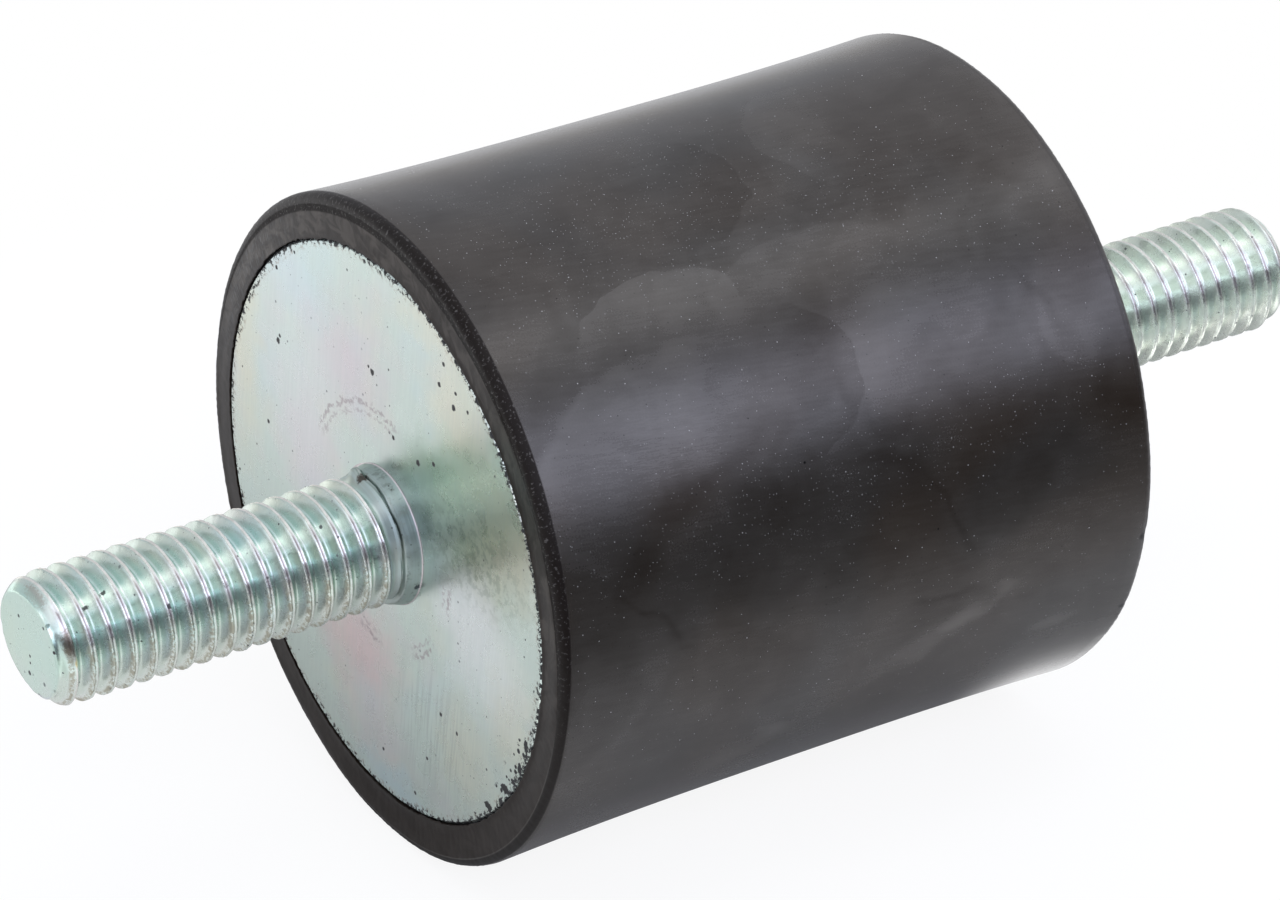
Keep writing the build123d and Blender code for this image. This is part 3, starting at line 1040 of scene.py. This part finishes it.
for node in ("front_plate", "rear_plate"):
    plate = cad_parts[node]
    for slot in plate.material_slots:
        slot.material = plate_zinc

# The studio

FLOOR_HEIGHT = -BODY_RADIUS
FLOOR_RADIUS = 700
FLOOR_SHIFT = 590
FLOOR_CORNERS = 96
# Where the floor glows brighter in reflections: a painted glare.
PAINTED_GLARE_PLACE = ((24, -7.5), (14, 5))


def floor_material():
    """A nearly white floor with a faint shadow. Reflections see it in other shades than the camera: darker
    ahead as painted shade, and glowing behind, beyond the front end and in a glare spot as painted light.
    """
    material = bpy.data.materials.new("pale_floor")
    s = Shader(material)
    path = s.node("LightPath").outputs
    seen = path["Is Camera Ray"]
    mirrored = s.most(path["Is Glossy Ray"], path["Is Transmission Ray"])
    place, x, y = s.place()[:3]
    level_place = s.scaled(place, (1, 1, 0))
    near = s.step(s.length(level_place), 85, 55)

    # Painted shade: reflections see the floor darker ahead of the object and under it.
    shaded_ahead = s.times(s.step(y, -72, -22, 0.08, 0.8), s.step(y, -25, -13, 1, 0.55))
    plain = s.mix(shaded_ahead, grey(0), (1, 0.985, 0.93))
    faint = s.times(near, 0.12)
    shown = s.node("CombineColor", {0: faint, 1: faint, 2: faint}).outputs[0]
    paint = s.node("BsdfDiffuse", {"Color": s.mix(seen, plain, shown)})

    # Painted light: for reflections the floor glows behind the object, beyond its front end and in a glare
    # spot by its rear end.
    glare = s.times(s.step(x, 14, 21), s.spot(level_place, *PAINTED_GLARE_PLACE, 0, 0.6), 1.3)
    behind = s.times_plus(s.step(y, 60, 110), 0.6, glare)
    behind = s.times_plus(s.step(x, -22, -46), 0.3, behind)
    level = s.times(seen, s.times_plus(near, -0.11, 1))
    level = s.plus(level, s.times(mirrored, s.plus(behind, 0.1)))
    glow = s.node("Emission", {"Color": grey(1), "Strength": level})
    both = s.node("AddShader", {0: paint.outputs[0], 1: glow.outputs[0]})
    s.node("OutputMaterial", {"Surface": both.outputs[0]})
    return material


def add_floor():
    angle = np.linspace(0, 2 * np.pi, FLOOR_CORNERS, endpoint=False)
    along, across = FLOOR_RADIUS * np.cos(angle), FLOOR_SHIFT + FLOOR_RADIUS * np.sin(angle)
    corners = np.stack([along, across, np.full_like(angle, FLOOR_HEIGHT)], axis=1)
    floor = add_object("floor", corners, [tuple(range(FLOOR_CORNERS))])
    floor.data.materials.append(floor_material())
    return floor


floor = add_floor()

# The studio round the object: brightness by the angle about the X axis, in degrees.
# 0 is the back, 90 is straight up and 180 is the front, where the room is dark.
STUDIO = [
    (0, 0.8, "neutral"), (12, 0.68, "pale"), (22, 0.63, "pale"), (35, 0.61, "pale"), (47, 0.68, "pale"),
    (59, 0.74, "pale"), (84, 0.84, "pale"), (95, 1.1, "pale"), (107, 0.85, "pale"), (119, 0.82, "pale"),
    (127, 1.00, "cool"), (134, 2.15, "cool"), (151, 2.45, "cool"), (156, 1.9, "cool"), (161, 0.5, "cool"),
    (166, 0.03, "neutral"), (190, 0.03, "neutral"), (225, 0.1, "neutral"), (270, 0.35, "neutral"),
    (310, 1.00, "warm"), (345, 1.08, "warm"), (360, 0.78, "warm"),
]
SHADES = {
    "neutral": (1, 1, 1), "pale": (0.98, 1.02, 1.12), "cool": (0.92, 0.98, 1.22),
    "warm": (1.04, 0.99, 0.94),
}
# The ramp's colours stay within 1, so it holds shares of this brightness.
STUDIO_TOP = 2.5


def make_world():
    """The studio lights the object, and the camera sees plain white behind it."""
    world = bpy.data.worlds.new("studio")
    s = Shader(world)
    direction = s.node("TexCoord").outputs["Generated"]
    part = s.node("SeparateXYZ", {0: direction}).outputs
    around = s.math("ARCTAN2", part[2], part[1])
    around = s.math("FRACT", s.math("DIVIDE", s.plus(around, 2 * math.pi), 2 * math.pi))
    ramp = s.node("ValToRGB", {0: around})
    band = ramp.color_ramp
    band.interpolation = "LINEAR"
    while len(band.elements) < len(STUDIO):
        band.elements.new(0.5)
    for element, (degrees, level, shade) in zip(band.elements, STUDIO):
        element.position = degrees / 360
        element.color = (*grey(level / STUDIO_TOP, SHADES[shade]), 1)
    lit = s.node("Background", {"Color": ramp.outputs[0], "Strength": STUDIO_TOP})
    white = s.node("Background", {"Color": grey(1), "Strength": 1})
    seen = s.node("LightPath").outputs["Is Camera Ray"]
    both = s.node("MixShader", {0: seen, 1: lit.outputs[0], 2: white.outputs[0]})
    s.node("OutputWorld", {"Surface": both.outputs[0]})
    return world


def add_lamp():
    """A soft lamp high above the object. Its sizes and place are in metres."""
    data = bpy.data.lights.new("overhead", "AREA")
    data.shape = "RECTANGLE"
    data.size = 0.6
    data.size_y = 0.16
    data.energy = 0.25
    lamp = bpy.data.objects.new("overhead", data)
    lamp.location = (0.05, -0.11, 0.55)
    bpy.context.scene.collection.objects.link(lamp)


# The camera, fitted to the photo's outlines: its place in metres, and its own right and up.
CAMERA_PLACE = (-0.169798, -0.258747, 0.168017)
CAMERA_RIGHT = Vector((0.83968, -0.54307, -0.0014))
CAMERA_UP = Vector((0.26199, 0.40281, 0.87698))


def add_camera():
    data = bpy.data.cameras.new("camera")
    data.sensor_fit = "HORIZONTAL"
    data.sensor_width = 36
    data.lens = 168.195
    data.shift_x = 0.002
    data.shift_y = 0.0112
    data.clip_start = 0.01
    data.clip_end = 10
    camera = bpy.data.objects.new("camera", data)
    bpy.context.scene.collection.objects.link(camera)
    backwards = CAMERA_RIGHT.cross(CAMERA_UP)
    turn = Matrix((CAMERA_RIGHT, CAMERA_UP, backwards)).transposed().to_4x4()
    camera.matrix_world = Matrix.Translation(CAMERA_PLACE) @ turn
    return camera


bpy.context.scene.world = make_world()
add_lamp()
bpy.context.scene.camera = add_camera()
bpy.context.scene.view_settings.view_transform = "Standard"
